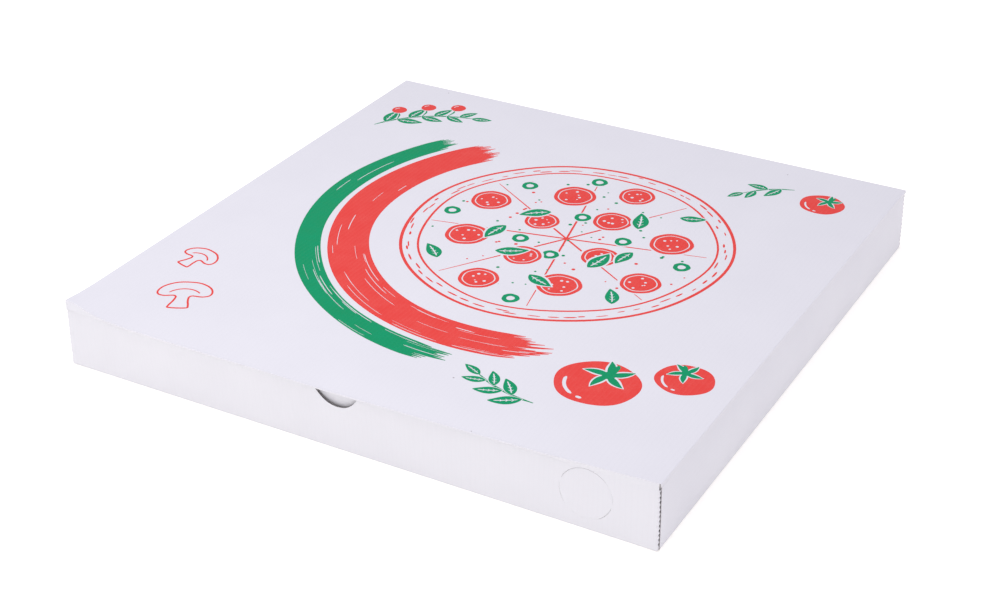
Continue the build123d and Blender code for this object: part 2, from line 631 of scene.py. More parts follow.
@dataclass(frozen=True)
class Spring:
    """How the board has sprung out of true on the closed box, in millimetres.

    The front wall bellies out, the lid's crease rolls over its edge, the side walls bulge and
    lean in under the lid, the corner folds stand out in front of their raw ends, the folds
    along the floor are pressed tight, and the vent's slit has closed in part. A span gives
    where a smooth step starts and where it is full.
    """

    half: float = 165.0
    wall_end: float = 163.0
    wall_height: float = 33.0
    front_face: float = -163.0
    near: float = 0.05
    # The front wall's belly
    belly: float = 3.0
    belly_left: float = -118.0
    belly_peak: float = -110.0
    belly_right: float = 130.0
    belly_power: float = 2.2
    belly_along: Span = (-55.0, -160.0)
    # The lid's panel and its side edges
    lid_top: float = 36.5
    lid_level: float = 34.9
    sag: float = 0.8
    skirt: float = 0.45
    skirt_across: Span = (163.9, 164.6)
    skirt_height: Span = (36.2, 35.0)
    droop: Stops = (
        (-165.0, -1.2), (-140.0, 1.6), (-60.0, 1.8), (0.0, 2.7),
        (60.0, 2.5), (105.0, 1.8), (130.0, 0.8), (165.0, 0.0),
    )
    droop_reach: float = 24.0
    # The lid's front crease, from its lip up to the panel
    nose_bottom: float = 33.2
    nose_height: Span = (25.2, 33.2)
    nose_along: Span = (-135.0, -164.0)
    nose_end: float = 163.0
    nose_back: float = -163.2
    nose_reach: float = 1.0
    lip_reach: float = 0.9
    lip_keep: float = 0.1
    lip_drop: float = 0.55
    lip_out: Stops = ((-165.0, 1.0), (-140.0, 0.3), (110.0, 0.15), (165.0, 0.05))
    crease_low: float = 35.2
    crease_reach: float = 1.31
    crease_keep: float = 0.15
    crease_out: Stops = (
        (-165.0, 0.0), (-138.0, 1.9), (-40.0, 2.3),
        (60.0, 2.3), (110.0, 1.7), (165.0, 0.1),
    )
    # The tuck flap
    flap_top: float = 33.2
    flap_back: float = -155.0
    flap_start: Span = (33.2, 31.5)
    flap_fade: Span = (14.0, 24.0)
    flap_gap: float = 0.1
    flap_lean: float = 0.035
    # The side walls
    side_layer: float = 163.5
    side_across: Span = (120.0, 163.0)
    side_bulge: float = 1.0
    bulge_along: Span = (160.0, 110.0)
    side_lean: float = 1.0
    lean_height: Span = (12.0, 34.0)
    lean_along: Span = (140.0, 160.0)
    lean_held: float = 0.65
    # The corner folds in front of the side walls' raw ends
    raw_end: float = 163.1
    left_step: float = 1.2
    step_length: float = 12.0
    fold_along: Span = (163.2, 164.5)
    fold_across: Span = (140.0, 161.0)
    corner_reach: Point = (2.7, 2.1)
    corner_wave: float = 0.25
    wave_across: Span = (161.6, 162.6)
    flute_pitch: float = 2.5
    # The folds along the floor
    corner_foot: float = 1.8
    foot_near: float = 0.1
    foot_along: float = 160.0
    foot_across: Span = (161.4, 161.45)
    foot_drop: float = 1.4
    floor_fold: float = 1.75
    fold_round: float = 0.7
    pressed: float = 0.35
    # The thumb notch
    notch_shift: float = -1.3
    shift_across: Span = (30.0, 13.0)
    notch_sink: float = 0.9
    sink_across: Span = (13.0, 4.0)
    sink_height: Span = (10.0, 24.0)
    # The vent, with the angles where its slit shows and how clearly
    vent: Point = (129.3, 17.95)
    vent_rim: float = 13.05
    vent_slit: float = 0.4
    slit_left: float = 0.12
    slit_shown: tuple[tuple[Span, Span, float], ...] = (
        ((36.0, 48.0), (176.0, 150.0), 1.0),
        ((298.0, 306.0), (342.0, 334.0), 1.0),
        ((165.0, 180.0), (225.0, 205.0), 0.4),
    )
    vent_shift: Point = (-0.3, 1.25)
    vent_shrink: float = 0.985
    vent_hold: float = 1.5

    def move(self, point: Vector, on_lid: bool) -> Vector:
        """Moves a point of the true box to where the sprung board has it.

        Args:
            point: the point at rest, in millimetres.
            on_lid: whether it belongs to the lid.

        Returns:
            The moved point, in millimetres.
        """
        moved = self.move_lid(point) if on_lid else self.move_tray(point)
        near_front = smooth_step(point.y, *self.belly_along)
        rise = min(max(point.z / self.wall_height, 0.0), 1.0) ** self.belly_power
        moved.y -= self.belly_at(point.x) * near_front * rise
        return moved

    def belly_at(self, x: float) -> float:
        """How far the top of the front wall stands out at that place along it."""
        rise = smooth_step(x, -self.wall_end, self.belly_left)
        return self.belly * rise * smooth_step(x, self.belly_right, self.belly_peak)

    def move_lid(self, point: Vector) -> Vector:
        """Rolls the lid's front crease over the wall, presses the flap to it and sags the panel.

        Args:
            point: a point of the lid.

        Returns:
            The moved point.
        """
        x, y, z = point
        inset = y + self.half
        lip_top = self.nose_bottom + self.lip_reach
        if inset < self.lip_reach and z < lip_top:
            y = -self.half + inset * self.lip_keep
            z -= self.lip_drop * smooth_step(z, lip_top, self.nose_bottom)
        if y + self.half < self.crease_reach and z > self.crease_low:
            y = -self.half + (y + self.half) * self.crease_keep
            z = self.lid_top - (self.lid_top - z) * self.crease_keep
        out = self.nose_out(x, y, z)
        if point.z < self.flap_top and point.y < self.flap_back:
            pressed = smooth_step(z, *self.flap_start) * smooth_step(z, *self.flap_fade)
            y -= pressed * (self.flap_gap + self.flap_lean * (self.flap_top - z))
        if point.z > self.lid_level:
            across = max(0.0, 1 - (x / self.half) ** 2)
            along = max(0.0, 1 - (y / self.half) ** 2)
            z -= self.sag * across * along
        edge = smooth_step(abs(x), *self.skirt_across)
        z -= self.skirt * edge * smooth_step(point.z, *self.skirt_height)
        z -= self.droop_at(x, y) * max(0.0, self.nose_share(point.z))
        if abs(x) > self.nose_end and y < self.nose_back and point.z < self.lid_level:
            x += math.copysign(self.nose_reach, x)
        return Vector((x, y - out, z))

    def nose_share(self, z: float) -> float:
        """Share of the crease's height at which a point lies, from its lip to the lid's top."""
        return (z - self.nose_bottom) / (self.lid_top - self.nose_bottom)

    def droop_at(self, x: float, y: float) -> float:
        """How far the lid's front strip bends down, which it doesn't at the corners."""
        share = max(0.0, (self.droop_reach - self.half - y) / self.droop_reach)
        return read_stops(self.droop, x) * share * share

    def nose_out(self, x: float, y: float, z: float) -> float:
        """How far the lid's crease stands in front of the wall's face.

        Args:
            x: place along the front.
            y: place along the depth.
            z: height.

        Returns:
            The distance towards the front.
        """
        shown = smooth_step(y, *self.nose_along) * smooth_step(z, *self.nose_height)
        lip, crease = read_stops(self.lip_out, x), read_stops(self.crease_out, x)
        return shown * (lip + (crease - lip) * min(max(self.nose_share(z), 0.0), 1.0))

    def move_tray(self, point: Vector) -> Vector:
        """Bulges the side walls, shapes the corners and folds, and sets the notch and the vent.

        Args:
            point: a point of the tray.

        Returns:
            The moved point.
        """
        x, y, z = point
        side = math.copysign(1, x)
        across, along = abs(x), abs(y)
        if across > self.side_layer - self.near:
            if x < 0 and y < 0:
                y += self.left_step * smooth_step(along, self.raw_end - self.step_length, self.raw_end)
        elif along > self.fold_along[0]:
            wave = self.corner_wave * math.cos(2 * math.pi * z / self.flute_pitch)
            reach = smooth_step(along, *self.fold_along) * smooth_step(across, *self.fold_across)
            stand_out = self.corner_reach[0 if x < 0 else 1]
            x += side * reach * (stand_out + wave * smooth_step(across, *self.wave_across))
        bulge = self.side_bulge * math.sin(math.pi * min(z / self.wall_height, 1.0))
        held = 1 - self.lean_held * smooth_step(along, *self.lean_along)
        lean = self.side_lean * smooth_step(z, *self.lean_height) * held
        shift = bulge * smooth_step(along, *self.bulge_along) - lean
        x += side * shift * smooth_step(across, *self.side_across)
        at_foot = abs(z - self.corner_foot) < self.foot_near and along > self.foot_along
        if at_foot and across < self.side_layer:
            z -= self.foot_drop * smooth_step(across, *self.foot_across)
        elif z < self.floor_fold:
            x, y, z = self.press_fold(x, y, z)
        if y < self.front_face:
            x += self.notch_shift * smooth_step(across, *self.shift_across)
            sink = self.notch_sink * smooth_step(across, *self.sink_across)
            z -= sink * smooth_step(z, *self.sink_height)
        return self.shift_vent(self.close_vent(Vector((x, y, z))))

    def press_fold(self, x: float, y: float, z: float) -> tuple[float, float, float]:
        """Tightens the outer round of a fold along the floor.

        Args:
            x: place along the width.
            y: place along the depth.
            z: height.

        Returns:
            The moved place.
        """
        for axis, value in enumerate((x, y)):
            inset = self.half - abs(value)
            from_centre = math.hypot(self.floor_fold - inset, self.floor_fold - z)
            if 0 <= inset < self.floor_fold and from_centre > self.fold_round * self.floor_fold:
                moved = math.copysign(self.half - self.pressed * inset, value)
                return (moved, y, self.pressed * z) if axis == 0 else (x, moved, self.pressed * z)
        return x, y, z

    def close_vent(self, point: Vector) -> Vector:
        """Presses the vent's disc out against its slit, less where the slit shows.

        Args:
            point: a point of the tray.

        Returns:
            The moved point.
        """
        off_x, off_z = point.x - self.vent[0], point.z - self.vent[1]
        radius = math.hypot(off_x, off_z)
        if point.y > self.front_face or abs(radius - self.vent_rim) > 0.5 * self.vent_slit:
            return point
        angle = math.degrees(math.atan2(off_z, off_x)) % 360
        shown = 0.0
        for rise, fall, clearness in self.slit_shown:
            shown = max(shown, clearness * smooth_step(angle, *rise) * smooth_step(angle, *fall))
        grow = (radius + self.vent_slit - self.slit_left * shown) / radius
        return Vector((self.vent[0] + off_x * grow, point.y, self.vent[1] + off_z * grow))

    def shift_vent(self, point: Vector) -> Vector:
        """Sets the vent a little higher in the wall and smaller, without moving the wall's edge.

        Args:
            point: a point of the tray.

        Returns:
            The moved point.
        """
        off_x, off_z = point.x - self.vent[0], point.z - self.vent[1]
        rim = self.vent_rim + self.vent_slit
        held = min(max((math.hypot(off_x, off_z) - rim) / self.vent_hold, 0.0), 1.0)
        if point.y > self.front_face or held == 1:
            return point
        size = 1 - (1 - self.vent_shrink) * (1 - held)
        x = self.vent[0] + off_x * size + self.vent_shift[0] * (1 - held)
        return Vector((x, point.y, self.vent[1] + off_z * size + self.vent_shift[1] * (1 - held)))


@dataclass(frozen=True)
class BoardFinishes:
    """The materials of a board piece, in the order of its slots."""

    coated: bpy.types.Material
    recycled: bpy.types.Material
    cut: bpy.types.Material
    end: bpy.types.Material

    def dress(self, mesh: bpy.types.Mesh) -> None:
        """Puts the materials in the mesh's slots."""
        for material in (self.coated, self.recycled, self.cut, self.end):
            mesh.materials.append(material)


def add_object(name: str, data: bpy.types.ID) -> bpy.types.Object:
    """Adds a mesh, a light or a camera to the scene as an object.

    Args:
        name: the object's name.
        data: what it shows.

    Returns:
        The object.
    """
    piece = bpy.data.objects.new(name, data)
    bpy.context.scene.collection.objects.link(piece)
    return piece


def make_mesh(name: str, bm: bmesh.types.BMesh) -> bpy.types.Mesh:
    """Turns a finished bmesh into a mesh and frees it.

    Args:
        name: the mesh's name.
        bm: the bmesh, in metres.

    Returns:
        The mesh.
    """
    mesh = bpy.data.meshes.new(name)
    bm.to_mesh(mesh)
    bm.free()
    return mesh


def mark_across(mesh: bpy.types.Mesh) -> None:
    """Stores the distance across the flutes on each face corner: Z on side walls, else X.

    Args:
        mesh: the mesh, before it is sprung.
    """
    layer = mesh.attributes.new(ACROSS, "FLOAT", "CORNER")
    values = [0.0] * len(mesh.loops)
    for polygon in mesh.polygons:
        axis = 2 if abs(polygon.normal.x) > FACING else 0
        for loop in polygon.loop_indices:
            values[loop] = mesh.vertices[mesh.loops[loop].vertex_index].co[axis]
    layer.data.foreach_set("value", values)


def make_sprung(name: str, bm: bmesh.types.BMesh, spring: Spring, on_lid: bool) -> bpy.types.Mesh:
    """Turns a bmesh of the true box into a sprung mesh that carries the distance across the flutes.

    Args:
        name: the mesh's name.
        bm: the bmesh, in millimetres.
        spring: the shared deformation.
        on_lid: whether it belongs to the lid.

    Returns:
        The mesh, in metres.
    """
    bmesh.ops.scale(bm, vec=(MM,) * 3, verts=bm.verts)
    mesh = make_mesh(name, bm)
    mark_across(mesh)
    for vertex in mesh.vertices:
        vertex.co = spring.move(vertex.co / MM, on_lid) * MM
    return mesh


def slice_mesh(bm: bmesh.types.BMesh, axis: int, places: list[float]) -> None:
    """Cuts all faces along planes across an axis, so that they can bend.

    Args:
        bm: the mesh, in millimetres.
        axis: 0, 1 or 2 for X, Y or Z.
        places: where the planes are.
    """
    normal = [0.0, 0.0, 0.0]
    normal[axis] = 1.0
    for place in places:
        spot = [place * number for number in normal]
        geometry = bm.verts[:] + bm.edges[:] + bm.faces[:]
        bmesh.ops.bisect_plane(bm, geom=geometry, dist=CUT_SLACK, plane_co=spot, plane_no=normal)


def steps(low: float, high: float, size: float) -> list[float]:
    """Even places between two ends, without the ends."""
    count = max(1, round((high - low) / size))
    return [low + (high - low) * number / count for number in range(1, count)]


@dataclass
class BoardPiece:
    """A folded board that stands for one solid of the frame, in millimetres."""

    node: str = ""
    piece_name: str = ""
    slot: str = ""
    half: float = 165.0
    board: float = 1.5
    near: float = 0.08
    weld: float = 0.002
    crease_angle: float = 32.0
    width_step: float = 11.0
    front_part: float = -50.0
    front_step: float = 11.5
    back_step: float = 27.0
    width_cuts: tuple[float, ...] = ()
    depth_cuts: tuple[float, ...] = ()
    level_cuts: tuple[float, ...] = ()

    def side_of(self, place: Vector, normal: Vector) -> Face:
        """Says which side of the board a face is. Each piece answers for its own faces."""
        raise NotImplementedError

    def at(self, value: float, target: float) -> bool:
        """Whether two distances agree within the piece's tolerance."""
        return abs(value - target) < self.near

    def build(self, source: bpy.types.Object, spring: Spring) -> bpy.types.Object:
        """Copies the solid's mesh, marks the sides of the board and springs it.

        Args:
            source: the solid's object in the frame.
            spring: the shared deformation.

        Returns:
            The new piece.
        """
        bm = bmesh.new()
        bm.from_mesh(source.data)
        bm.transform(source.matrix_world)
        bmesh.ops.scale(bm, vec=(1 / MM,) * 3, verts=bm.verts)
        bmesh.ops.remove_doubles(bm, verts=bm.verts, dist=self.weld)
        front = steps(-self.half, self.front_part, self.front_step)
        back = steps(self.front_part, self.half, self.back_step)
        slice_mesh(bm, 0, [*steps(-self.half, self.half, self.width_step), *self.width_cuts])
        slice_mesh(bm, 1, [*front, *back, *self.depth_cuts])
        slice_mesh(bm, 2, list(self.level_cuts))
        self.slice_corners(bm)
        for face in bm.faces:
            face.material_index = self.side_of(face.calc_center_median(), face.normal)
            face.smooth = True
        mesh = make_sprung(self.piece_name, bm, spring, self.node == "lid")
        mesh.set_sharp_from_angle(angle=math.radians(self.crease_angle))
        piece = add_object(self.piece_name, mesh)
        piece.modifiers.new("even_normals", "WEIGHTED_NORMAL").keep_sharp = True
        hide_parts(self.node)
        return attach(piece, self.node)

    def slice_corners(self, bm: bmesh.types.BMesh) -> None:
        """Cuts the faces of the corner folds finer. A piece without them has nothing to cut."""


@dataclass
class Tray(BoardPiece):
    """The folded tray: bottom, walls with roll-over sides, corner tabs and lock tabs."""

    node: str = "tray"
    piece_name: str = "tray_board"
    slot: str = "tray_board"
    rim_bottom: float = 33.3
    rim_start: float = 32.8
    rim_end: float = 159.0
    raw_end: float = 163.1
    layer_step: float = 1.8
    layer_slack: float = 0.2
    bend: float = 1.8
    bend_slack: float = 0.4
    skin: float = 0.5
    slack: float = 0.02
    tilt: float = 0.02
    floor_tilt: float = 0.05
    upright: float = 0.3
    fold_start: float = 161.4
    fold_low: float = 2.5
    fold_height: float = 30.0
    fold_step: float = 0.625
    level_cuts: tuple[float, ...] = (2.2, 6.0, 12.0, 18.0, 24.0, 29.0)
    depth_cuts: tuple[float, ...] = (-161.0, -158.0, 158.0, 161.0)

    def slice_corners(self, bm: bmesh.types.BMesh) -> None:
        """Cuts the corner folds finely enough for the flutes to show at their edge.

        Args:
            bm: the mesh, in millimetres.
        """
        up = (0, 0, 1)
        for number in range(int(self.fold_height / self.fold_step)):
            faces = []
            for face in bm.faces:
                place = face.calc_center_median()
                at_corner = self.fold_start < abs(place.x) < self.half - self.board
                if at_corner and abs(place.y) > self.raw_end:
                    faces.append(face)
            edges = {edge for face in faces for edge in face.edges}
            verts = {vert for face in faces for vert in face.verts}
            level = (0.0, 0.0, self.fold_low + number * self.fold_step)
            geometry = list(verts) + list(edges) + faces
            bmesh.ops.bisect_plane(bm, geom=geometry, dist=CUT_SLACK, plane_co=level, plane_no=up)

    def side_of(self, place: Vector, normal: Vector) -> Face:
        """Says which side of the board a face of the tray is.

        Args:
            place: the face's middle.
            normal: its normal.

        Returns:
            The side.
        """
        across, along, height = abs(place.x), abs(place.y), place.z
        out_x = normal.x * math.copysign(1, place.x)
        out_y = normal.y * math.copysign(1, place.y)
        inside = self.half - self.board
        if self.at(along, self.raw_end) and across > inside - self.slack and out_y > FACING:
            return Face.END
        if self.is_outside(across, along, height, out_x, out_y, normal.z):
            return Face.COATED
        layer = self.half - 2 * self.layer_step
        inner_layers = (inside, inside - self.layer_step)
        facing_in = out_x < -FACING and any(self.at(across, x) for x in inner_layers)
        facing_out = out_x > FACING and self.at(across, layer)
        on_floor = height < self.board + self.bend_slack and normal.z > self.floor_tilt
        low_bend = on_floor and along < self.half - self.skin
        wall = out_y < -FACING and self.at(along, inside)
        roof = normal.z < -FACING and self.at(height, self.rim_bottom)
        if facing_in or facing_out or low_bend or wall or roof:
            return Face.RECYCLED
        return Face.END if across > inside else Face.CUT

    def is_outside(
        self, across: float, along: float, height: float, out_x: float, out_y: float, up: float
    ) -> bool:
        """Whether a face of the tray shows the coated liner.

        Args:
            across: distance from the middle along X.
            along: distance from the middle along Y.
            height: height above the ground.
            out_x: outward part of the normal along X.
            out_y: outward part of the normal along Y.
            up: upward part of the normal.

        Returns:
            True for the outside, its bends, and the liner that the rolled rim carries inside.
        """
        layer = self.half - self.layer_step
        inner_face = self.half - 2 * self.layer_step - self.board
        flat = (
            (self.at(across, self.half) and out_x > FACING)
            or (self.at(along, self.half) and out_y > FACING)
            or (self.at(height, 0.0) and up < -FACING)
            or (self.at(across, layer) and out_x > FACING)
            or (self.at(across, inner_face) and out_x < -FACING)
        )
        floor_bend = height < self.bend and up < -self.tilt and max(out_x, out_y) > self.tilt
        corner = across > layer - self.bend and along > self.half - self.bend
        corner_bend = corner and min(out_x, out_y) > self.tilt and abs(up) < self.upright
        rim = height > self.rim_start and up > self.tilt and across > inner_face - self.near
        on_rim = rim and (along < self.rim_end + self.near or across > layer + self.layer_slack)
        return flat or floor_bend or corner_bend or on_rim


@dataclass
class Lid(BoardPiece):
    """The lid: panel, crease nose and tuck flap."""

    node: str = "lid"
    piece_name: str = "lid_board"
    slot: str = "lid_board"
    underside: float = 35.0
    nose_bottom: float = 33.2
    nose_back: float = 161.6
    corner_cut: float = 164.2
    flap_face: float = 0.9
    level_cuts: tuple[float, ...] = (14.0, 22.0, 26.0, 29.0, 31.5, 34.0, 34.25, 34.5, 34.75, 35.0)
    width_cuts: tuple[float, ...] = (
        -164.2, -162.0, -159.0, -156.5, -151.0, -148.0, -145.5, -140.5, -138.0,
        164.2,
    )

    def side_of(self, place: Vector, normal: Vector) -> Face:
        """Says which side of the board a face of the lid is.

        Args:
            place: the face's middle.
            normal: its normal.

        Returns:
            The side.
        """
        if place.z < self.nose_bottom - self.near:
            if abs(normal.y) < self.flap_face:
                return Face.CUT
            return Face.COATED if normal.y < 0 else Face.RECYCLED
        under_panel = self.at(place.z, self.underside) and normal.z < -FACING
        behind_nose = self.at(place.y, -self.nose_back) and normal.y > FACING
        if under_panel or behind_nose:
            return Face.RECYCLED
        nose_end = place.z < self.underside and abs(normal.x) > FACING
        right_corner = place.x > self.corner_cut and normal.y < -FACING
        return Face.CUT if nose_end or right_corner else Face.COATED


@dataclass
class HingeCrease:
    """The crease between the back wall and the lid, in millimetres."""

    piece_name: str = "hinge_crease"
    half_length: float = 161.4
    width_step: float = 11.0
    outside: float = 164.8
    inside: float = 163.7
    bead: float = 165.08
    bead_start: Span = (33.9, 34.4)
    bead_end: Span = (35.6, 35.2)
    tray_end: float = 31.5
    tray_rows: tuple[float, ...] = (33.0, 33.9, 34.1, 34.3, 34.55)
    tray_top: float = 34.8
    bend_parts: int = 10
    lid_bottom: float = 35.0
    lid_rows: tuple[float, ...] = (35.2, 35.35)
    lid_end: float = 35.6
    crease_angle: float = 40.0

    def rows(self) -> list[Point]:
        """Heights of the crease's rows, each with its outer face's place.

        Returns:
            Pairs of outer Y and Z, from the tray up to the lid.
        """
        parts = self.bend_parts
        bend = [self.tray_top + (self.lid_bottom - self.tray_top) * n / parts for n in range(parts + 1)]
        rows = []
        for height in [self.tray_end, *self.tray_rows, *bend, *self.lid_rows, self.lid_end]:
            swell = smooth_step(height, *self.bead_start) * smooth_step(height, *self.bead_end)
            rows.append((self.outside + (self.bead - self.outside) * swell, height))
        return rows

    def make_strip(self) -> bpy.types.Mesh:
        """Makes the strip's mesh, coated outside and bare inside.

        Returns:
            The mesh, in metres.
        """
        rows = self.rows()
        profile = rows + [(self.inside, height) for _, height in reversed(rows)]
        inner_places = steps(-self.half_length, self.half_length, self.width_step)
        bm = bmesh.new()
        loops = []
        for x in [-self.half_length, *inner_places, self.half_length]:
            loops.append([bm.verts.new(Vector((x, y, z)) * MM) for y, z in profile])
        for left, right in zip(loops, loops[1:]):
            for n in range(len(profile)):
                after = (n + 1) % len(profile)
                face = bm.faces.new((left[n], right[n], right[after], left[after]))
                face.material_index = Face.COATED if n < len(rows) - 1 else Face.RECYCLED
                face.smooth = True
        bm.faces.new(loops[0])
        bm.faces.new(reversed(loops[-1]))
        bmesh.ops.recalc_face_normals(bm, faces=bm.faces)
        return make_mesh(self.piece_name, bm)

    def build(self, finishes: BoardFinishes) -> bpy.types.Object:
        """Builds the strip, dresses it with the board's materials and adds it to the scene.

        Args:
            finishes: the board's materials.

        Returns:
            The piece.
        """
        mesh = self.make_strip()
        finishes.dress(mesh)
        mark_across(mesh)
        mesh.set_sharp_from_angle(angle=math.radians(self.crease_angle))
        piece = add_object(self.piece_name, mesh)
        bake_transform(piece)
        return piece


@dataclass(frozen=True)
class Softbox:
    """A square soft light that faces the box, in metres and watts."""

    name: str
    place: Vector
    size: float
    power: float
    tint: tuple[float, float, float]


@dataclass
class Studio:
    """Camera at the photograph's angle, soft light and a plain pale floor, in metres."""

    camera_place: Vector = Vector((0.4267, -0.7808, 0.5018))
    camera_target: Vector = Vector((0.0131, -0.0340, 0.0183))
    lens: float = 67.63
    sensor: float = 36.0
    clip_start: float = 0.01
    sky: float = 0.84
    sky_tint: Colour = (0.985, 0.97, 1.03, 1.0)
    softboxes: tuple[Softbox, ...] = (
        Softbox("key_softbox", Vector((-0.11, -0.20, 0.60)), 0.70, 1.86, (1.0, 0.985, 1.02)),
        Softbox("front_softbox", Vector((-0.35, -1.5, 0.7)), 1.0, 2.8, (1.0, 1.0, 0.88)),
        Softbox("right_softbox", Vector((1.9, 0.1, 0.35)), 1.2, 1.6, (0.97, 0.9, 1.4)),
    )
    light_target: Vector = Vector((0.0, 0.0, 0.02))
    floor_radius: float = 40.0
    floor_sides: int = 96
    floor_drop: float = 0.00005

    def aim(self, thing: bpy.types.Object, place: Vector, target: Vector) -> None:
        """Sets a light or camera at a place and turns it towards a point."""
        thing.location = place
        thing.rotation_euler = (target - thing.location).to_track_quat("-Z", "Y").to_euler()

    def build_camera(self) -> None:
        """Makes the scene's camera."""
        data = bpy.data.cameras.new("photo_camera")
        data.lens = self.lens
        data.sensor_width = self.sensor
        data.clip_start = self.clip_start
        camera = add_object("photo_camera", data)
        self.aim(camera, self.camera_place, self.camera_target)
        bpy.context.scene.camera = camera

    def build_light(self) -> None:
        """Makes the even surround and the softboxes."""
        scene = bpy.context.scene
        scene.view_settings.view_transform = "Standard"
        world = bpy.data.worlds.new("studio_surround")
        world.use_nodes = True
        surround = world.node_tree.nodes["Background"]
        surround.inputs["Color"].default_value = self.sky_tint
        surround.inputs["Strength"].default_value = self.sky
        scene.world = world
        for softbox in self.softboxes:
            data = bpy.data.lights.new(softbox.name, "AREA")
            data.size = softbox.size
            data.energy = softbox.power
            data.color = softbox.tint
            self.aim(add_object(softbox.name, data), softbox.place, self.light_target)

    def build_floor(self, material: bpy.types.Material) -> None:
        """Makes the floor.

        Args:
            material: its finish.
        """
        bm = bmesh.new()
        bmesh.ops.create_circle(bm, cap_ends=True, segments=self.floor_sides, radius=self.floor_radius)
        mesh = make_mesh("studio_floor", bm)
        mesh.materials.append(material)
        floor = add_object("studio_floor", mesh)
        floor.location.z = -self.floor_drop


def polar(centre: Point, angle: float, radius: float) -> Point:
    """The point at an angle in degrees and a distance from a centre."""
    turn = math.radians(angle)
    return centre[0] + radius * math.cos(turn), centre[1] + radius * math.sin(turn)


def arc(centre: Point, radius: float, start: float, end: float, count: int) -> Outline:
    """Points along an arc between two angles in degrees."""
    return [polar(centre, start + (end - start) * n / (count - 1), radius) for n in range(count)]


def circle(centre: Point, radius: float, count: int = 36, wobble: float = 0.0) -> Outline:
    """A circle that may be a little uneven, as if drawn by hand.

    Args:
        centre: its middle.
        radius: its radius.
        count: number of points.
        wobble: share of the radius by which it is uneven.

    Returns:
        The outline, counter-clockwise.
    """
    points = []
    for n in range(count):
        angle = 360 * n / count
        uneven = 0.0
        for weight, waves, start in WOBBLES:
            uneven += weight * math.sin(math.radians(waves * angle + start))
        points.append(polar(centre, angle, radius * (1 + wobble * uneven)))
    return points


def stroke(points: Outline, widths: list[float]) -> Outline:
    """Outline of a line with a width at each of its points.

    Args:
        points: the line.
        widths: its widths.

    Returns:
        The outline, counter-clockwise.
    """
    right, left = [], []
    for n, (x, y) in enumerate(points):
        ahead = Vector(points[min(n + 1, len(points) - 1)]) - Vector(points[max(n - 1, 0)])
        side = Vector((ahead.y, -ahead.x)).normalized() * widths[n] / 2
        right.append((x + side.x, y + side.y))
        left.append((x - side.x, y - side.y))
    return right + left[::-1]


def pen_line(points: Outline, width: float) -> Outline:
    """Outline of a drawn line of even width with narrow ends."""
    ends = [PEN_END * width]
    return stroke(points, ends + [width] * (len(points) - 2) + ends)


def curve(start: Point, direction: float, length: float, bend: float, count: int) -> Outline:
    """Points along a line that sets out in a direction and turns evenly.

    Args:
        start: its first point.
        direction: angle in degrees.
        length: its length.
        bend: degrees that it turns in all.
        count: number of points.

    Returns:
        The points.
    """
    points = [start]
    for n in range(count - 1):
        angle = direction + bend * n / (count - 2)
        points.append(polar(points[-1], angle, length / (count - 1)))
    return points


def smooth_ring(points: Outline, parts: int) -> Outline:
    """Rounds a closed outline through its points.

    Args:
        points: the outline.
        parts: number of steps from each point to the next.

    Returns:
        The finer outline.
    """
    count = len(points)
    finer = []
    for n in range(count):
        before, start, end, after = (Vector(points[(n + k) % count]) for k in (-1, 0, 1, 2))
        for part in range(parts):
            t = part / parts
            bend = (2 * before - 5 * start + 4 * end - after) * t * t
            twist = (3 * start - before - 3 * end + after) * t * t * t
            finer.append(tuple(start + 0.5 * ((end - before) * t + bend + twist)))
    return finer


def inset(points: Outline, distance: float) -> Outline:
    """Draws a closed outline in by a distance.

    Args:
        points: the outline, counter-clockwise.
        distance: how far in.

    Returns:
        The smaller outline.
    """
    moved = []
    for n, (x, y) in enumerate(points):
        ahead = Vector(points[(n + 1) % len(points)]) - Vector(points[n - 1])
        inward = Vector((-ahead.y, ahead.x)).normalized() * distance
        moved.append((x + inward.x, y + inward.y))
    return moved


@dataclass(frozen=True)
class Leaf:
    """A leaf with its veins left bare."""

    base: Point
    direction: float
    length: float
    bend: float = 18.0
    plump: float = 0.46
    halo: float = 0.0
    points: int = 18
    tip: float = 0.12
    round_power: float = 0.8
    base_width: float = 1.25
    narrowing: float = 0.55
    rib_width: float = 0.045
    rib_ends: tuple[int, int] = (2, -3)
    veins: tuple[int, ...] = (4, 7, 10)
    vein_reach: float = 0.36
    vein_loss: float = 0.018
    vein_angle: float = 48.0
    vein_start: float = 52.0
    vein_width: float = 0.7

    def blade(self, margin: float) -> Outline:
        """Draws the leaf's edge.

        Args:
            margin: how far it is grown.

        Returns:
            The outline, counter-clockwise.
        """
        start = polar(self.base, self.direction + 180, margin)
        spine = curve(start, self.direction, self.length + 2 * margin, self.bend, self.points)
        widths = []
        for n in range(self.points):
            share = n / (self.points - 1)
            swell = math.sin(math.pi * share)
            full = swell**self.round_power * (self.base_width - self.narrowing * share)
            widths.append(self.tip + self.plump * self.length * full + 2 * margin * swell)
        return stroke(spine, widths)

    def shapes(self) -> list[Shape]:
        """Draws the leaf.

        Returns:
            Its shapes in painting order.
        """
        spine = curve(self.base, self.direction, self.length, self.bend, self.points)
        rib = self.rib_width * self.length
        first, last = self.rib_ends
        shapes: list[Shape] = [(None, self.blade(self.halo))] if self.halo else []
        shapes.append((Ink.GREEN, self.blade(0.0)))
        shapes.append((None, pen_line(spine[first:last], rib)))
        for n in self.veins:
            along = self.direction + self.bend * n / (self.points - 1)
            vein = self.length * self.plump * (self.vein_reach - self.vein_loss * n)
            for side in (-1, 1):
                tip = polar(spine[n], along + side * self.vein_angle, vein)
                middle = polar(spine[n], along + side * self.vein_start, vein / 2)
                shapes.append((None, pen_line([spine[n], middle, tip], self.vein_width * rib)))
        return shapes


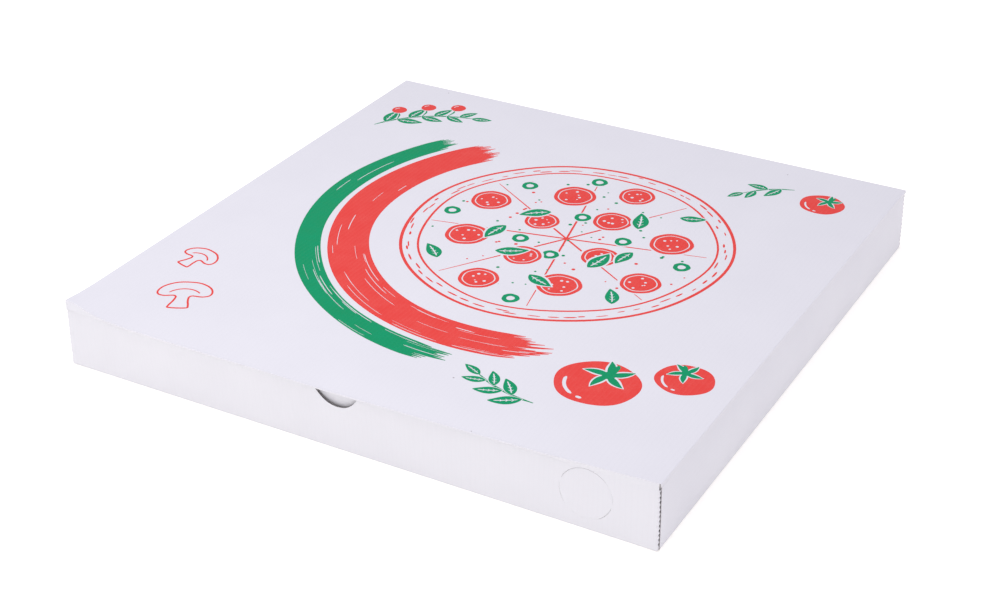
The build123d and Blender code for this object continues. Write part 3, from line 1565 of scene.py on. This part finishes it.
@dataclass(frozen=True)
class BrushArc:
    """A broad brush stroke along an arc, with bristle ends and dry streaks."""

    ink: Ink
    centre: Point
    radius: float
    width: float
    start: float
    end: float
    bristles: int
    seed: int
    parts: int = 60
    overlap: float = 1.35
    waver: float = 0.25
    waver_step: float = 0.31
    tip: tuple[float, ...] = (0.2, 0.7, 1.0)
    start_spread: Span = (-1.2, 2.2)
    start_round: float = 2.5
    end_spread: Span = (-2.5, 4.5)
    end_round: float = 4.0
    streaks: int = 2
    streak_lanes: Span = (-0.45, 0.45)
    streak_power: float = 0.45
    streak_length: Span = (4, 17)
    streak_width: Span = (0.18, 0.5)
    first_streak: float = 6.0
    streak_margin: float = 5.0

    def shapes(self) -> list[Shape]:
        """Draws the stroke.

        Returns:
            Its shapes in painting order.
        """
        draw = random.Random(self.seed)
        shapes: list[Shape] = [(self.ink, self.bristle(n, draw)) for n in range(self.bristles)]
        for _ in range(self.streaks * self.bristles):
            shapes.append((None, self.streak(draw)))
        return shapes

    def bristle(self, number: int, draw: random.Random) -> Outline:
        """Draws what one bristle leaves, shorter at the stroke's edges.

        Args:
            number: the bristle's place, from the arc's inside.
            draw: source of chance.

        Returns:
            The outline.
        """
        step = self.width / self.bristles
        radius = self.radius + (number - (self.bristles - 1) / 2) * step
        edge = abs(2 * number / (self.bristles - 1) - 1)
        start = self.start + draw.uniform(*self.start_spread) + self.start_round * edge**2
        end = self.end - draw.uniform(*self.end_spread) - self.end_round * edge**2
        path = []
        for k in range(self.parts + 1):
            lane = radius + self.waver * math.sin(self.waver_step * k + number)
            path.append(polar(self.centre, start + (end - start) * k / self.parts, lane))
        body = [step * self.overlap] * len(path)
        for k, share in enumerate(self.tip):
            body[k] *= share
            body[self.parts - k] *= share
        return stroke(path, body)

    def streak(self, draw: random.Random) -> Outline:
        """Draws one dry streak, more often near the stroke's end.

        Args:
            draw: source of chance.

        Returns:
            The outline.
        """
        radius = self.radius + draw.uniform(*self.streak_lanes) * self.width
        share = draw.random() ** self.streak_power
        length = draw.uniform(*self.streak_length)
        finish = self.start + self.first_streak + (self.end - self.start - self.streak_margin) * share
        path = arc(self.centre, radius, finish - length, finish, 14)
        return pen_line(path, draw.uniform(*self.streak_width))


@dataclass(frozen=True)
class PizzaDrawing:
    """A pizza from above: rings, crust dashes, slice lines and toppings.

    Toppings are given by angle and distance from the middle, sausage with its radius, and
    leaves with their direction and length.
    """

    centre: Point = (24.0, 20.0)
    radius: float = 90.0
    scale: float = 1.125
    line: float = 1.7
    crust: float = 9.5
    seed: int = 5
    dashes: int = 58
    dash_turn: Span = (-2, 2)
    dash_span: Span = (1.0, 2.6)
    dash_lane: Span = (-1.7, 1.7)
    dash_inset: float = 0.4
    dash_width: Span = (0.6, 1.1)
    cuts: int = 4
    cut_turn: float = 12.0
    inner_line: float = 0.7
    cut_width: float = 1.1
    cut_gap: float = 4.0
    cut_middle: float = 20.0
    crumbs: int = 90
    crumb_reach: float = 66.0
    crumb_size: Span = (0.5, 1.1)
    green_share: float = 0.55
    sausage: tuple[tuple[float, float, float], ...] = (
        (22, 50, 10.5), (67, 29, 9.5), (80, 58, 9.0), (112, 46, 10.5), (150, 22, 8.5),
        (160, 55, 10.0), (203, 48, 10.5), (247, 27, 9.0), (252, 57, 9.5), (293, 46, 10.5),
        (335, 55, 9.5), (338, 24, 9.0),
    )
    leaves: tuple[tuple[float, float, float, float], ...] = (
        (45, 36, 100, 17), (50, 60, 10, 13), (132, 29, 210, 16), (183, 32, 250, 16),
        (226, 64, 130, 15), (228, 36, 20, 16), (272, 40, 330, 15), (316, 30, 70, 17),
        (315, 66, 110, 14), (4, 34, 250, 14),
    )
    leaf_halo: float = 1.3
    olives: tuple[Point, ...] = (
        (0, 60), (98, 24), (135, 60), (180, 63), (272, 18),
        (274, 64), (22, 27), (207, 22), (102, 64),
    )
    olive_halo: float = 5.8
    olive: float = 4.6
    olive_hole: float = 2.2
    slice_halo: float = 1.4
    slice_ring: float = 0.82
    slice_line: float = 0.65
    dots: int = 6
    dot_turn: Span = (-22, 22)
    dot_reach: Span = (0.2, 0.6)
    dot_size: Span = (0.5, 1.0)

    def shapes(self) -> list[Shape]:
        """The pizza's shapes in painting order."""
        draw = random.Random(self.seed)
        return self.dough(draw) + self.topping(draw)

    def dough(self, draw: random.Random) -> list[Shape]:
        """Rings, crust dashes and slice lines.

        Args:
            draw: source of chance.

        Returns:
            The shapes in painting order.
        """
        inner = self.radius - self.crust
        shapes: list[Shape] = [
            (Ink.RED, circle(self.centre, self.radius, count=120, wobble=0.006)),
            (None, circle(self.centre, self.radius - self.line, count=120, wobble=0.007)),
            (Ink.RED, circle(self.centre, inner, count=110, wobble=0.011)),
            (None, circle(self.centre, inner - self.inner_line * self.line, count=110, wobble=0.012)),
        ]
        for n in range(self.dashes):
            middle = 360 * n / self.dashes + draw.uniform(*self.dash_turn)
            span = draw.uniform(*self.dash_span)
            lane = self.radius - 0.5 * self.crust - self.dash_inset + draw.uniform(*self.dash_lane)
            dash = arc(self.centre, lane, middle - span, middle + span, 5)
            shapes.append((Ink.RED, pen_line(dash, draw.uniform(*self.dash_width))))
        end = inner - self.cut_gap
        for n in range(self.cuts):
            angle = 180 * n / self.cuts + self.cut_turn
            reaches = (-end, -self.cut_middle, self.cut_middle, end)
            cut = [polar(self.centre, angle, reach) for reach in reaches]
            shapes.append((Ink.RED, pen_line(cut, self.cut_width)))
        return shapes

    def topping(self, draw: random.Random) -> list[Shape]:
        """Crumbs, olive rings, sausage slices and leaves.

        Args:
            draw: source of chance.

        Returns:
            The shapes in painting order.
        """
        shapes: list[Shape] = []
        for _ in range(self.crumbs):
            angle = draw.uniform(0, 360)
            spot = polar(self.centre, angle, self.crumb_reach * self.scale * math.sqrt(draw.random()))
            ink = Ink.GREEN if draw.random() < self.green_share else Ink.RED
            shapes.append((ink, circle(spot, draw.uniform(*self.crumb_size), count=7)))
        for angle, reach in self.olives:
            spot = polar(self.centre, angle, reach * self.scale)
            shapes.append((None, circle(spot, self.olive_halo, count=28)))
            shapes.append((Ink.GREEN, circle(spot, self.olive, count=28, wobble=0.03)))
            shapes.append((None, circle(spot, self.olive_hole, count=20, wobble=0.03)))
        for angle, reach, size in self.sausage:
            shapes += self.slice(polar(self.centre, angle, reach * self.scale), size * self.scale, draw)
        for angle, reach, direction, length in self.leaves:
            base = polar(self.centre, angle, reach * self.scale)
            shapes += Leaf(base, direction, length * self.scale, halo=self.leaf_halo).shapes()
        return shapes

    def slice(self, spot: Point, size: float, draw: random.Random) -> list[Shape]:
        """One slice of sausage: solid, with a bare ring and bare dots.

        Args:
            spot: its middle.
            size: its radius.
            draw: source of chance.

        Returns:
            The shapes in painting order.
        """
        ring = self.slice_ring * size
        shapes: list[Shape] = [
            (None, circle(spot, size + self.slice_halo, count=44)),
            (Ink.RED, circle(spot, size, count=44, wobble=0.018)),
            (None, circle(spot, ring, count=40, wobble=0.02)),
            (Ink.RED, circle(spot, ring - self.slice_line, count=40, wobble=0.02)),
        ]
        for n in range(self.dots):
            angle = 360 * n / self.dots + draw.uniform(*self.dot_turn)
            dot = polar(spot, angle, size * draw.uniform(*self.dot_reach))
            shapes.append((None, circle(dot, draw.uniform(*self.dot_size), count=9)))
        return shapes


@dataclass(frozen=True)
class Tomato:
    """A ripe tomato with a bare highlight and a green calyx, in shares of its radius."""

    centre: Point
    radius: float
    turn: float = 0.0
    points: int = 64
    lobes: int = 5
    lobe: float = 0.014
    flatness: float = 0.93
    halo: float = 1.1
    shine_reach: float = 0.74
    shine_width: float = 0.085
    shines: tuple[tuple[float, float, int], ...] = ((185, 245, 12), (256, 268, 5))
    top: float = 0.42
    arms: int = 5
    arm_turn: float = 36.0
    arm: float = 0.62
    arm_bend: float = 26.0
    arm_plump: float = 0.3
    arm_halo: float = 0.05
    heart: float = 0.16
    stem: float = 0.5
    stem_turn: float = 80.0
    stem_bend: float = 40.0
    stem_width: float = 0.11

    def body(self) -> Outline:
        """Draws the fruit's edge, a little lobed and flattened.

        Returns:
            The outline, counter-clockwise.
        """
        edge = []
        for n in range(self.points):
            angle = 360 * n / self.points
            lobe = 1 + self.lobe * math.cos(math.radians(self.lobes * (angle - self.turn) + 180))
            x, y = polar((0, 0), angle, self.radius * lobe)
            edge.append((self.centre[0] + x, self.centre[1] + self.flatness * y))
        return edge

    def shapes(self) -> list[Shape]:
        """Draws the tomato.

        Returns:
            Its shapes in painting order.
        """
        size = self.radius
        halo = circle(self.centre, size * self.halo, count=48)
        shapes: list[Shape] = [(None, halo), (Ink.RED, self.body())]
        for start, end, count in self.shines:
            shine = arc(self.centre, self.shine_reach * size, start, end, count)
            shapes.append((None, pen_line(shine, self.shine_width * size)))
        top = polar(self.centre, 90 + self.turn, self.top * size)
        arms = []
        for n in range(self.arms):
            direction = self.turn + self.arm_turn + 360 * n / self.arms
            arms.append(Leaf(top, direction, self.arm * size, self.arm_bend, self.arm_plump))
        shapes += [(None, arm.blade(self.arm_halo * size)) for arm in arms]
        shapes += [(Ink.GREEN, arm.blade(0.0)) for arm in arms]
        shapes.append((Ink.GREEN, circle(top, self.heart * size, count=20)))
        stem = curve(top, self.stem_turn + self.turn, self.stem * size, self.stem_bend, 8)
        shapes.append((Ink.GREEN, pen_line(stem, self.stem_width * size)))
        return shapes


@dataclass(frozen=True)
class Sprig:
    """A stem with leaves by turns left and right, and fruit between them."""

    base: Point
    direction: float
    length: float
    bend: float
    pairs: int
    leaf: float
    fruit: float = 0.0
    stem_width: float = 0.075
    leaf_turn: float = 46.0
    leaf_bend: float = 16.0
    leaf_plump: float = 0.42
    leaf_halo: float = 0.5
    leaf_loss: float = 0.4
    last_leaf: float = 0.7
    last_bend: float = 8.0
    stalk: tuple[Point, ...] = ((58.0, 0.35), (66.0, 0.6))
    stalk_width: float = 0.06
    fruit_halo: float = 0.7
    fruit_reach: float = 0.7
    glint_reach: float = 0.6
    glint_span: Span = (110.0, 190.0)
    glint_width: float = 0.16

    def shapes(self) -> list[Shape]:
        """Draws the sprig.

        Returns:
            Its shapes in painting order.
        """
        count = 2 * self.pairs + 3
        stem = curve(self.base, self.direction, self.length, self.bend, count)
        shapes: list[Shape] = [(Ink.GREEN, pen_line(stem, self.stem_width * self.leaf))]
        for n in range(1, count - 1):
            side = 1 if n % 2 else -1
            along = self.direction + self.bend * n / (count - 1)
            size = self.leaf * (1 - self.leaf_loss * n / count)
            turned, bend = along + side * self.leaf_turn, -side * self.leaf_bend
            shapes += Leaf(stem[n], turned, size, bend, self.leaf_plump, self.leaf_halo).shapes()
            if self.fruit and n % 2 == 0:
                shapes += self.berry(stem[n], along)
        end = self.direction + self.bend
        size = self.last_leaf * self.leaf
        return shapes + Leaf(stem[-1], end, size, self.last_bend, self.leaf_plump).shapes()

    def berry(self, joint: Point, along: float) -> list[Shape]:
        """Draws a berry on its stalk.

        Args:
            joint: where the stalk leaves the stem.
            along: the stem's direction there.

        Returns:
            The shapes in painting order.
        """
        stalk = [joint] + [polar(joint, along + turn, reach * self.leaf) for turn, reach in self.stalk]
        turn, reach = self.stalk[-1]
        spot = polar(joint, along + turn, reach * self.leaf + self.fruit_reach * self.fruit)
        glint = arc(spot, self.glint_reach * self.fruit, *self.glint_span, 8)
        return [
            (Ink.GREEN, pen_line(stalk, self.stalk_width * self.leaf)),
            (None, circle(spot, self.fruit + self.fruit_halo, count=30)),
            (Ink.RED, circle(spot, self.fruit, count=30, wobble=0.015)),
            (None, pen_line(glint, self.glint_width * self.fruit)),
        ]


@dataclass(frozen=True)
class Mushroom:
    """A slice of mushroom in line, in shares of its height."""

    base: Point
    turn: float
    size: float
    line: float = 1.0
    half: tuple[Point, ...] = (
        (0.17, 0.0), (0.2, 0.1), (0.155, 0.28), (0.16, 0.44), (0.36, 0.42),
        (0.5, 0.47), (0.54, 0.6), (0.48, 0.77), (0.33, 0.91), (0.14, 0.985),
    )
    gills: float = 0.36
    gill_span: Span = (35.0, 145.0)
    gill_line: float = 0.8

    def outline(self) -> Outline:
        """Draws the slice's edge from its right half.

        Returns:
            The outline, counter-clockwise.
        """
        whole = [*self.half, *((-x, y) for x, y in reversed(self.half))]
        turn = math.radians(self.turn)
        placed = []
        for x, y in smooth_ring(whole, 5):
            right = self.size * (x * math.cos(turn) - y * math.sin(turn))
            up = self.size * (x * math.sin(turn) + y * math.cos(turn))
            placed.append((self.base[0] + right, self.base[1] + up))
        return placed

    def shapes(self) -> list[Shape]:
        """Draws the slice.

        Returns:
            Its shapes in painting order.
        """
        reach = self.gills * self.size
        middle = polar(self.base, 90 + self.turn, reach)
        gills = arc(middle, reach, self.turn + self.gill_span[0], self.turn + self.gill_span[1], 16)
        return [
            (Ink.RED, self.outline()),
            (None, inset(self.outline(), self.line)),
            (Ink.RED, pen_line(gills, self.gill_line * self.line)),
        ]


@dataclass
class LidPrint:
    """The two-ink print on the lid, each ink a thin plate that lies on the board, in millimetres."""

    top: float = 36.5
    under: float = 0.02
    over: float = 0.05
    epsilon: float = 1e-4
    digits: int = 4
    triangles: dict[Ink, list[Outline]] = field(default_factory=lambda: {ink: [] for ink in Ink})

    def add(self, shapes: list[Shape]) -> None:
        """Adds a motif, where each later shape covers the ones before it and None leaves the board bare.

        Args:
            shapes: the motif's inks and outlines in painting order.
        """
        spots = [Vector(point) for _, outline in shapes for point in outline]
        faces, first = [], 0
        for _, outline in shapes:
            faces.append(list(range(first, first + len(outline))))
            first += len(outline)
        places, _, pieces, _, _, sources = delaunay_2d_cdt(spots, [], faces, INSIDE_ONLY, self.epsilon)
        for piece, covers in zip(pieces, sources):
            ink = shapes[max(covers)][0] if covers else None
            if ink:
                self.triangles[ink].append([tuple(places[n]) for n in piece])

    def build(self, ink: Ink, material: bpy.types.Material, spring: Spring) -> bpy.types.Object:
        """Builds one ink's plate.

        Args:
            ink: the plate's ink.
            material: its finish.
            spring: the shared deformation.

        Returns:
            The piece.
        """
        name = f"print_{ink.value}_plate"
        bm = bmesh.new()
        corners: dict[Point, bmesh.types.BMVert] = {}
        for triangle in self.triangles[ink]:
            keys = [(round(x, self.digits), round(y, self.digits)) for x, y in triangle]
            if len(set(keys)) < len(keys):
                continue
            for key in keys:
                if key not in corners:
                    corners[key] = bm.verts.new((*key, self.top - self.under))
            bm.faces.new([corners[key] for key in keys])
        raised = bmesh.ops.extrude_face_region(bm, geom=bm.faces[:])
        for item in raised["geom"]:
            if isinstance(item, bmesh.types.BMVert):
                item.co.z = self.top + self.over
        bmesh.ops.recalc_face_normals(bm, faces=bm.faces)
        mesh = make_sprung(name, bm, spring, on_lid=True)
        mesh.materials.append(material)
        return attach(add_object(name, mesh), "lid")


def draw_motifs() -> list[list[Shape]]:
    """Draws the print's motifs.

    Returns:
        Each motif's shapes in painting order.
    """
    pizza = PizzaDrawing()
    motifs = [
        pizza,
        BrushArc(Ink.RED, pizza.centre, 117.0, 22.0, 138.0, 292.0, bristles=16, seed=11),
        BrushArc(Ink.GREEN, pizza.centre, 138.5, 13.0, 146.0, 274.0, bristles=10, seed=12),
        Tomato((104.0, -104.0), 21.0, -12.0),
        Tomato((139.0, -82.0), 14.5, 20.0),
        Sprig((86.0, -134.0), 176.0, 36.0, -26.0, 2, 17.0),
        Sprig((-146.0, 96.0), 62.0, 62.0, -50.0, 3, 18.0, 4.6),
        Tomato((130.0, 124.0), 12.5, -25.0),
        Sprig((110.0, 134.0), 200.0, 30.0, 30.0, 1, 15.0),
        Mushroom((-112.0, -140.0), 24.0, 27.0),
        Mushroom((-138.0, -104.0), -14.0, 21.0),
    ]
    return [motif.shapes() for motif in motifs]


def main() -> None:
    """Builds the pieces in order and reports each one."""
    logging.basicConfig(level=logging.INFO, format="%(message)s")
    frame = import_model()
    effects = BoardEffects()
    # A lighter copy of the cut board for the side walls' raw ends at the corners: painted light, beside
    # cut_board's painted shade.
    raw_end = CutBoard(name="raw_end", light=(0.60, 0.58, 0.585, 1.0), shade=(0.42, 0.40, 0.405, 1.0))
    finishes = BoardFinishes(
        CoatedLiner().make(effects),
        RecycledLiner().make(effects),
        CutBoard().make(effects),
        raw_end.make(effects),
    )
    spring = Spring()
    for board in (Tray(), Lid()):
        piece = board.build(frame["nodes"][board.node], spring)
        finishes.dress(piece.data)
        LOG.info("%s: %d faces", piece.name, len(piece.data.polygons))
    crease = HingeCrease().build(finishes)
    LOG.info("%s: %d faces", crease.name, len(crease.data.polygons))
    print_on_lid = LidPrint()
    for shapes in draw_motifs():
        print_on_lid.add(shapes)
    inks = {
        Ink.RED: PrintInk(
            name="red_ink", full=(0.685, 0.049, 0.042, 1.0), thin=(0.70, 0.085, 0.075, 1.0)
        ),
        Ink.GREEN: PrintInk(
            name="green_ink", full=(0.001, 0.25, 0.1, 1.0), thin=(0.004, 0.285, 0.132, 1.0)
        ),
    }
    for ink, finish in inks.items():
        plate = print_on_lid.build(ink, finish.make(effects), spring)
        LOG.info("%s: %d faces", plate.name, len(plate.data.polygons))
    studio = Studio()
    studio.build_camera()
    studio.build_light()
    studio.build_floor(StudioFloor().make(effects))
    LOG.info("studio: camera, light and floor")


if __name__ == "__main__":
    main()
